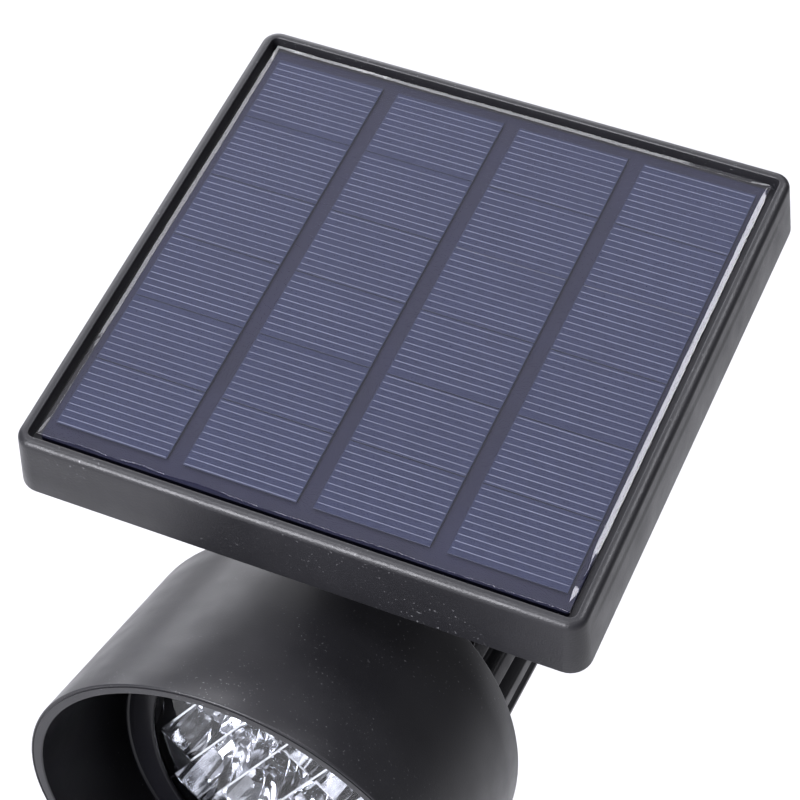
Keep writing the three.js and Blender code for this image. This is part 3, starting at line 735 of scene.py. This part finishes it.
HINGE_FACE = 9.2
TILT_FACE = 10.7
hinge_bolt = hex_bolt(4.4, 3, 2.3, -HINGE_FACE, HINGE_FACE + 4.8)
tilt_bolt = hex_bolt(5.2, 3.5, 2.8, -TILT_FACE, TILT_FACE + 5.4)
hinge_knob = hand_knob(8.4, HINGE_FACE, HINGE_FACE + 8, 2.7)
tilt_knob = hand_knob(11, TILT_FACE, TILT_FACE + 9.4, 3.2)
fastener("hinge_hex_bolt", hinge_bolt, "hinge_bolt", "panel", HINGE_PLACE)
fastener("tilt_hex_bolt", tilt_bolt, "tilt_bolt", "bracket", TILT_PLACE)
piece("hinge_hand_knob", *hinge_knob, "hinge_knob", "black_plastic", ["hinge_knob"], "black_plastic",
      HINGE_PLACE)
piece("tilt_hand_knob", *tilt_knob, "tilt_knob", "black_plastic", ["tilt_knob"], "black_plastic",
      TILT_PLACE)

# ---------------------------------------------------------------- hood and housing

HOOD_SEGMENTS = 192
MOUTH_LIP = 0.65


def hood():
    """The flared hood: its mouth is cut aslant, so each ring of the mouth has its own stations."""
    bend, bend_steps = 0.4, 6

    def mouth(offset, a):
        r0 = HOOD_RADIUS - offset
        return (HOOD_LENGTH + r0 * math.sin(a) * HOOD_CUT) / (1 - HOOD_FLARE * math.sin(a) * HOOD_CUT)

    def wall(offset, station):
        return lambda a: (HOOD_RADIUS - offset + station(a) * HOOD_FLARE, station(a))

    def outside(share):
        return wall(0, lambda a: share * mouth(0, a))

    def edge(offset, drop):
        return wall(offset, lambda a: mouth(offset, a) - drop)

    def inside(offset, share):
        return wall(offset, lambda a: FLANGE_DEPTH + share * (mouth(offset, a) - FLANGE_DEPTH))

    def bend_at(share):
        t = math.pi / 2 * share
        return bend * (1 - math.cos(t)), bend * (1 - math.sin(t))

    rings = [lambda a: (FLANGE_HOLE, 0)]
    for inset, s in ((0.9, 0), (0.45, 0.06), (0.12, 0.22), (-0.02, 0.5)):
        rings.append(lambda a, r=HOOD_RADIUS - inset, s=s: (r, s))
    rings += [outside(share) for share in (0.15, 0.35, 0.55, 0.75, 0.9)]
    for k in range(bend_steps + 1):
        inset, drop = bend_at(k / bend_steps)
        rings.append(edge(inset, drop))
    # A fine groove runs round the mouth's face near its outer edge.
    rings += [edge(bend + inset, drop) for inset, drop in ((0.12, 0.2), (0.38, 0.2), (0.46, 0.0))]
    for k in range(bend_steps + 1):
        inset, drop = bend_at(1 - k / bend_steps)
        rings.append(edge(HOOD_WALL + MOUTH_LIP - inset, drop))
    for share, lip in ((0.8, 0.5), (0.5, 0.25), (0.2, 0.0)):
        rings.append(inside(HOOD_WALL + lip * MOUTH_LIP, share))
    rings.append(wall(HOOD_WALL, lambda a: FLANGE_DEPTH + 1.2))
    rings.append(wall(HOOD_WALL + 1.2, lambda a: FLANGE_DEPTH))
    rings.append(lambda a: (FLANGE_HOLE, FLANGE_DEPTH))
    angles = [2 * math.pi * i / HOOD_SEGMENTS for i in range(HOOD_SEGMENTS)]
    return loft([[about_lamp(*ring(a), a) for a in angles] for ring in rings], is_loop=True)


def thirds(first):
    """Three angles about the lamp, from one in degrees."""
    return [math.radians(first + 120 * k) for k in range(3)]


hood_angles = thirds(90)
rear_angles = thirds(34)
hood_spots = [(HOOD_SCREW_CIRCLE * math.cos(a), HOOD_SCREW_CIRCLE * math.sin(a)) for a in hood_angles]
rear_spots = [(BARREL_BORE * math.cos(a), BARREL_BORE * math.sin(a)) for a in rear_angles]
hood_holes = [rod_y(1.7, 4, -1, x, z) for x, z in hood_spots]
piece("lamp_hood", *carve(hood(), remove=hood_holes), "head", "hood_plastic", ["hood"], "black_plastic")


def housing():
    """Ribbed barrel, flange and lens cup with the hollow inside, and the two lugs."""
    root, top = math.radians(4.3), math.radians(3.2)
    rib_corners = ((RIB_ROOT, -root, 0.5), (RIB_TOP, -top, 0.7), (RIB_TOP, top, 0.7), (RIB_ROOT, root, 0.5))
    corners = []
    for rib in range(RIBS):
        for r, offset, bend in rib_corners:
            a = RIB_PHASE + rib / RIBS * 2 * math.pi + offset
            corners.append((r * math.cos(a), r * math.sin(a), bend))
    outline = rounded(corners, is_closed=True, steps=3)
    angles = [math.atan2(y, x) for x, y in outline]

    def ribbed(s, shrink=1.0):
        k = (1 + s * TAPER / RIB_TOP) * shrink
        return [(k * x, HOOD_BACK - s, LAMP_Z + k * y) for x, y in outline]

    def circle(r, s):
        return [about_lamp(r, s, a) for a in angles]

    rings = [circle(30, -2.6)] + [ribbed(s) for s in (-2.5, -25, -50, -BARREL + 0.9)]
    rings.append(ribbed(-BARREL, 0.975))
    cup = [(24, -BARREL), (24, -68), (BARREL_BORE, -68), (BARREL_BORE, 0.9), (CUP_BORE, 0.9),
           (CUP_BORE, CUP_FRONT), (CUP_RADIUS, CUP_FRONT), (CUP_RADIUS, 5.8), (41.8, 5.4), (41.8, 2.5),
           (35.8, 2.5), (35.8, -0.4)]
    rings += [circle(r, s) for r, s in cup]
    boss = turn(rounded([(0, 20), (14, 20), (14, 37.5, 0.6), (0, 37.5)]), upright(0, ARM_Y, LAMP_Z), 48)
    lug = plate(ear(0, TILT_Z, 10, 16, LAMP_Z - 26), -5, 5)
    vertices, faces = rod_x(3.2, -20, 20)
    pin = ([(x, y, z + TILT_Z) for x, y, z in vertices], faces)
    core_profile = [(0, CUP_FRONT - 20), (BARREL_BORE, 0.8), (BARREL_BORE, -68), (0, -68)]
    core = turn(core_profile, about_lamp, 64)
    socket = rod_z(5.4, LAMP_Z + 20, LAMP_Z + 39, 0, ARM_Y)
    return carve(loft(rings, is_loop=True), [boss, lug], [core, socket, pin])


piece("lamp_housing", *housing(), "head", "ribbed_plastic", ["lamp_body"], "black_plastic")

hood_screw = pan_screw(2.7, 1.5, 1.1, 7)
rear_screw = pan_screw(2.5, 1.8, 1.2, 12)
BACKWARD = Matrix.Rotation(-math.pi / 2, 4, "X")
for i, (x, z) in enumerate(hood_spots):
    spot = Matrix.Translation((x, HOOD_BACK + 1.8, LAMP_Z + z))
    fastener(f"hood_fixing_{i + 1}", hood_screw, f"hood_screw_{i + 1}", "head", spot @ BACKWARD)
for i, (x, z) in enumerate(rear_spots):
    spot = Matrix.Translation((x, HOOD_BACK + BARREL + 6.2, LAMP_Z + z))
    fastener(f"cap_fixing_{i + 1}", rear_screw, f"rear_screw_{i + 1}", "head", spot @ BACKWARD)


def rear_cap():
    """Cap on the back of the barrel: a hollow shell with sunk screws and a hole for the button."""
    end = -BARREL
    profile = rounded([
        (6.4, end - 10, 0.4), (24, end - 10, 1.5), (29.5, end - 8.2, 3), (32.2, end - 4.5, 3),
        (32.4, end - 0.4, 0.3), (25.4, end - 0.4), (25.4, end - 1.5), (23.6, end - 1.5), (23.6, end + 2.6),
        (22, end + 2.6), (22, end - 6.5), (20.5, end - 7.6), (6.4, end - 7.6),
    ], is_closed=True)
    sinks = [rod_y(2.9, end - 4, end - 12, x, z, 28) for x, z in rear_spots]
    drills = [rod_y(1.5, end + 1, end - 5, x, z) for x, z in rear_spots]
    return carve(turn(profile, about_lamp, 96, is_loop=True), remove=sinks + drills)


piece("rear_cover", *rear_cap(), "head", "black_plastic", ["rear_cap"], "black_plastic")

button_face = -BARREL - 12.2
button_profile = rounded([(r, button_face + s, *bend) for r, s, *bend in (
    (0, 0.35), (2.2, 0.3, 0.4), (3.0, 0, 0.3), (4.6, 0.15, 0.5), (6, 1.1, 1.0),
    (6, 4.9), (7.6, 4.9, 0.3), (7.6, 6.6, 0.2), (0, 6.6),
)])
button = turn(button_profile, about_lamp, 48)
piece("rubber_button", *button, "power_button", "rubber", ["power_button"], "rubber")

# ---------------------------------------------------------------- optics

ring_profile = rounded([
    (WINDOW, 19.2), (33.7, 19.2), (33.7, 18.5), (CUP_RADIUS, 18.5), (CUP_RADIUS, 19.9, 0.12),
    (CUP_RADIUS - 0.4, 19.9, 0.1), (CUP_RADIUS - 0.7, 19.6, 0.3), (35.6, 20.0, 1.0),
    (WINDOW + 0.3, 20.0, 0.2), (WINDOW, 19.7, 0.1),
], is_closed=True)
lens_ring = turn(ring_profile, about_lamp, 160, is_loop=True)
piece("lens_bezel", *lens_ring, "head", "bezel_plastic", ["lens_ring"], "bezel_plastic")
lens_profile = rounded([(0, 18.1), (OPTIC_RADIUS, 18.1, 0.2), (OPTIC_RADIUS, 18.9, 0.3), (0, 18.9)])
piece("front_lens", *turn(lens_profile, about_lamp, 128), "head", "clear_lens", ["lens"], "clear_lens")

# (row, place along it, length) of each cup.
TROUGHS = [(-2, 0, 36), (-1, -14.8, 28.4), (-1, 14.8, 28.4), (0, -15.8, 30.4), (0, 15.8, 30.4),
           (1, -14.2, 27.2), (1, 14.2, 27.2), (2, 0, 36)]


def from_trough(across, along, s):
    """A point given across and along the troughs, and by its station, in the row frame."""
    c, k = math.cos(TROUGH_ANGLE), math.sin(TROUGH_ANGLE)
    x = across * k + along * c
    z = along * k - across * c
    return (x, HOOD_BACK - s, LAMP_Z + z)


def reflector():
    """Rows of cups with stepped facets, one LED at the bottom of each, cut to the round outline."""
    rib, floor, under, tilt, step = 17.6, 4.6, 3.0, 0.26, 0.04
    edge_depth = 7

    def depth(place, along, row, rise):
        """Station of the metallised surface: deep in the middle of a cup and high on the ribs."""
        u = min(1.0, abs(place) / (TROUGH_PITCH / 2 - 0.3))
        if abs(row) > 2:
            return rib - edge_depth * (1 - u * u) + rise * (1 - u)
        best = rib
        for cup_row, centre, length in TROUGHS:
            if cup_row == row:
                half = length / 2 + (3.6 if centre == 0 else 0.6)
                v = min(1.0, abs(along - centre) / half)
                wall = floor + (rib - floor) * max(u ** 2, v ** 5)
                best = min(best, wall + rise * (1 - u * u) * (0.16 < v < 0.98))
        return best

    shares = (0.13, 0.23, 0.32, 0.4, 0.475)
    across = []
    for row in range(-4, 5):
        middle = TROUGH_SHIFT + row * TROUGH_PITCH
        for k in (*[-share for share in shares[::-1]], 0, *shares):
            across.append((middle + k * TROUGH_PITCH, k * TROUGH_PITCH, row))
    marks = (0.2, 3.6, 8.2, 12.4, 17.2, 21.6, 25.2, 29.4, 34)
    along = []
    for j, mark in enumerate([-m for m in marks[::-1]] + list(marks)):
        sign = 1 if (j * 7) % 5 < 3 else -1
        along += [(mark - step, tilt * sign), (mark + step, -tilt * sign)]
    vertices = [
        from_trough(a, t, depth(place, t, row, rise))
        for t, rise in along
        for a, place, row in across
    ]
    columns, rows = len(across), len(along)
    faces = []
    for j in range(rows - 1):
        for i in range(columns - 1):
            a = j * columns + i
            faces.append((a, a + 1, a + columns + 1, a + columns))
    base = len(vertices)
    rim = list(range(columns)) + [j * columns + columns - 1 for j in range(1, rows)]
    rim += [(rows - 1) * columns + i for i in range(columns - 2, -1, -1)]
    rim += [j * columns for j in range(rows - 2, 0, -1)]
    vertices += [(vertices[i][0], HOOD_BACK - under, vertices[i][2]) for i in rim]
    count = len(rim)
    for k in range(count):
        n = (k + 1) % count
        faces.append((rim[k], rim[n], base + n, base + k))
    faces.append(tuple(base + k for k in range(count)))
    disc = turn([(OPTIC_RADIUS, under + 0.4), (OPTIC_RADIUS, rib + 0.2)], about_lamp, 96)
    return carve((vertices, faces), within=[disc])


piece("faceted_reflector", *reflector(), "head", "chrome_reflector", ["reflector"], "chrome_reflector",
      crease=26)


def led(middle, along):
    """A square chip and its clear dome, at the bottom of a cup."""
    seat_x, _, seat_z = from_trough(middle, along, 0)

    def square(half, s):
        corners = ((-half, -half), (half, -half), (half, half), (-half, half))
        return [from_trough(middle + a, along + b, s) for a, b in corners]

    def about_seat(r, s, a):
        return (seat_x + r * math.cos(a), HOOD_BACK - s, seat_z + r * math.sin(a))

    chip = loft([square(1.75, 3.1), square(1.75, 4.1), square(1.6, 4.3)])
    dome_profile = rounded([(1.7, 4.32), (1.7, 5.4), (1.5, 7.0, 1.4), (0, 7.2)], steps=6)
    return chip, turn(dome_profile, about_seat, 24)


for i, (row, along, _) in enumerate(TROUGHS):
    chip, dome = led(TROUGH_SHIFT + row * TROUGH_PITCH, along)
    piece(f"led_chip_{i + 1}", *chip, "head", "led", [f"led_{i + 1}"], "led")
    piece(f"led_dome_{i + 1}", *dome, "head", "clear_lens", (), "led")

# ---------------------------------------------------------------- arm, bracket and stake


def panel_arm():
    """The arm that swivels in the housing, with the lug of the hinge on top."""
    top = ARM_PIVOT - LAMP_Z - 10.2
    profile = rounded([
        (0, 21), (4.2, 21, 0.4), (4.2, 22.5), (3.2, 22.5), (3.2, 25.4), (5, 25.4), (5, 37.9),
        (12.8, 37.9, 0.3), (13.6, 38.7, 0.5), (13.6, 40.9, 0.6), (12.4, 42.1, 0.8), (9.5, 42.9, 3),
        (8.2, top, 1), (0, top),
    ])
    stem = turn(profile, upright(0, ARM_Y, LAMP_Z), 64)
    lug = plate(ear(ARM_Y, ARM_PIVOT, 9, 9, LAMP_Z + 41.5), -4.5, 4.5)
    vertices, faces = rod_x(2.7, -20, 20)
    pin = ([(x, y + ARM_Y, z + ARM_PIVOT) for x, y, z in vertices], faces)
    return carve(stem, [lug], [pin])


piece("swivel_arm", *panel_arm(), "panel_arm", "black_plastic", ["panel_arm"], "black_plastic")


def swivel_fork():
    """The fork on the post, drawn about the tilt axis."""
    profile = rounded([
        (0, -36), (12.2, -36, 0.5), (13, -35.2, 0.5), (13, -14.5, 0.8), (11.5, -13, 0.8), (0, -13),
    ])
    outline = ear(0, 0, 10, 10, -19)
    ears = [plate(outline, 5.4, 10.4), plate(outline, -10.4, -5.4)]
    socket = rod_z(8.3, -37, -19)
    return carve(turn(profile, upright(), 64), ears, [socket, rod_x(3.2, -20, 20)])


piece("fork_bracket", *swivel_fork(), "bracket", "black_plastic", ["swivel_fork"], "black_plastic",
      TILT_PLACE)

post_outside = rounded([
    (9.3, 5, 0.2), (13, 5, 0.5), (13, 11.6, 0.6), (11.5, 13.6, 1), (11.5, 75.6, 0.8), (12.7, 77.1, 0.6),
    (12.7, 81.6, 0.4), (8, 81.6), (8, 97.4), (7, 98.4), (0, 98.4),
])
post = turn(post_outside + [(0, 71.6), (9.3, 71.6)], upright(), 64, is_loop=True)
hole = turn([(1.7, -16), (1.7, 0)], lambda r, y, a: (r * math.cos(a), y, POST_HOLE_Z + r * math.sin(a)), 24)
piece("stake_tube", *carve(post, remove=[hole]), "stake", "stake_plastic", ["stake_post"], "stake_plastic")
post_spot = Matrix.Translation((0, -13.4, POST_HOLE_Z)) @ Matrix.Rotation(math.pi / 2, 4, "X")
fastener("stake_screw", pan_screw(3, 1.6, 1.4, 9), "post_screw", "stake", post_spot)


def spike():
    """The cross-shaped spike and the collar that rests on the ground."""
    collar_profile = rounded([(0, 0), (26, 0, 0.4), (26, 2.4, 0.8), (23, 4.0, 2), (14, 4.6, 2), (0, 4.6)])
    stub = rod_z(9, 0.5, 30)
    outline = [(-13, 1), (-13, -24), (-1, -120), (1, -120), (13, -24), (13, 1)]
    blade = plate(outline, -1.6, 1.6, 0.7)
    crossed = ([(y, x, z) for x, y, z in blade[0]], blade[1])
    return carve(turn(collar_profile, upright(), 96), [stub, blade, crossed])


piece("cross_spike", *spike(), "stake", "stake_plastic", ["ground_spike"], "stake_plastic")

# ---------------------------------------------------------------- CAD nodes that stay

slots = {row["node"]: row["material_slot"] for row in frame["record"]["subparts"]}
for name, obj in frame["nodes"].items():
    obj.data.materials.clear()
    obj.data.materials.append(LOOKS[slots[name]])

# ---------------------------------------------------------------- stage, light and camera

FLOOR_HALF = 6
FLOOR_Z = CAD_BOX[0][2] - 0.0005
floor_corners = [(x * FLOOR_HALF, y * FLOOR_HALF, FLOOR_Z) for x, y in ((-1, -1), (1, -1), (1, 1), (-1, 1))]
floor_mesh = bpy.data.meshes.new("floor")
floor_mesh.from_pydata(floor_corners, [], [(0, 1, 2, 3)])
floor = bpy.data.objects.new("floor", floor_mesh)
bpy.context.scene.collection.objects.link(floor)
pale = Shader("pale_floor", (0.425, 0.425, 0.425), 0.8)
pale_tone = pale.tint(pale.noise(3, 2), (0.415, 0.415, 0.415), (0.435, 0.435, 0.435))
pale.link(pale_tone, pale.bsdf.inputs["Base Color"])
floor_mesh.materials.append(pale.material)
floor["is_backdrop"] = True

# A soft dome: bright overhead and dim towards the horizon (heights are the Z of a unit direction).
HORIZON, OVERHEAD = 0.35, 0.82
HORIZON_LIGHT, OVERHEAD_LIGHT = 0.2, 1.04
world = bpy.data.worlds.new("studio")
world.use_nodes = True
sky = world.node_tree
background = sky.nodes["Background"]
background.inputs["Color"].default_value = (0.97, 0.97, 1.05, 1)
direction_node = sky.nodes.new("ShaderNodeTexCoord")
height_node = sky.nodes.new("ShaderNodeSeparateXYZ")
strength_node = sky.nodes.new("ShaderNodeMapRange")
strength_node.interpolation_type = "SMOOTHSTEP"
strength_node.inputs["From Min"].default_value = HORIZON
strength_node.inputs["From Max"].default_value = OVERHEAD
strength_node.inputs["To Min"].default_value = HORIZON_LIGHT
strength_node.inputs["To Max"].default_value = OVERHEAD_LIGHT
sky.links.new(direction_node.outputs["Generated"], height_node.inputs["Vector"])
sky.links.new(height_node.outputs["Z"], strength_node.inputs["Value"])
sky.links.new(strength_node.outputs["Result"], background.inputs["Strength"])
bpy.context.scene.world = world

# What the softboxes point at, in metres like all of the stage.
AIM = Vector((0, 0, 0.2))


def softbox(name, toward, distance, size, power):
    """An area lamp in a direction from the object, facing it."""
    data = bpy.data.lights.new(name, "AREA")
    data.shape = "RECTANGLE"
    data.size, data.size_y = size
    data.energy = power
    data.color = (0.97, 0.97, 1.03)
    lamp = bpy.data.objects.new(name, data)
    bpy.context.scene.collection.objects.link(lamp)
    direction = Vector(toward).normalized()
    lamp.location = AIM + direction * distance
    lamp.rotation_mode = "QUATERNION"
    lamp.rotation_quaternion = direction.to_track_quat("Z", "Y")


softbox("key_front", (-0.30, -0.36, 0.88), 1.8, (1.1, 0.7), 18)
softbox("key_right", (0.28, 0.24, 0.93), 1.8, (0.7, 0.7), 18)
softbox("front_low", (-0.30, -0.90, 0.30), 2.0, (0.9, 1.0), 95)
softbox("back_left", (-0.596, 0.678, 0.432), 2.0, (2.2, 1.6), 42)
softbox("back_strip", (-0.44, 0.49, 0.755), 2.0, (1.15, 0.36), 6)

# The camera stands in front and to the right, high above the panel, and looks down with a slight roll.
HEADING, PITCH, ROLL = (math.radians(angle) for angle in (21.609, -35.878, 4.758))
camera_data = bpy.data.cameras.new("camera")
camera_data.sensor_width = 36
camera_data.lens = 130
camera_data.shift_x = 0.0855
camera_data.clip_start, camera_data.clip_end = 0.02, 30
camera = bpy.data.objects.new("camera", camera_data)
bpy.context.scene.collection.objects.link(camera)
level = Matrix.Rotation(HEADING, 4, "Z") @ Matrix.Rotation(math.pi / 2 + PITCH, 4, "X")
stand = Matrix.Translation((0.165639, -0.457820, 0.584432))
camera.matrix_world = stand @ level @ Matrix.Rotation(ROLL, 4, "Z")
bpy.context.scene.camera = camera
bpy.context.scene.view_settings.view_transform = "Standard"

low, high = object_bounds()
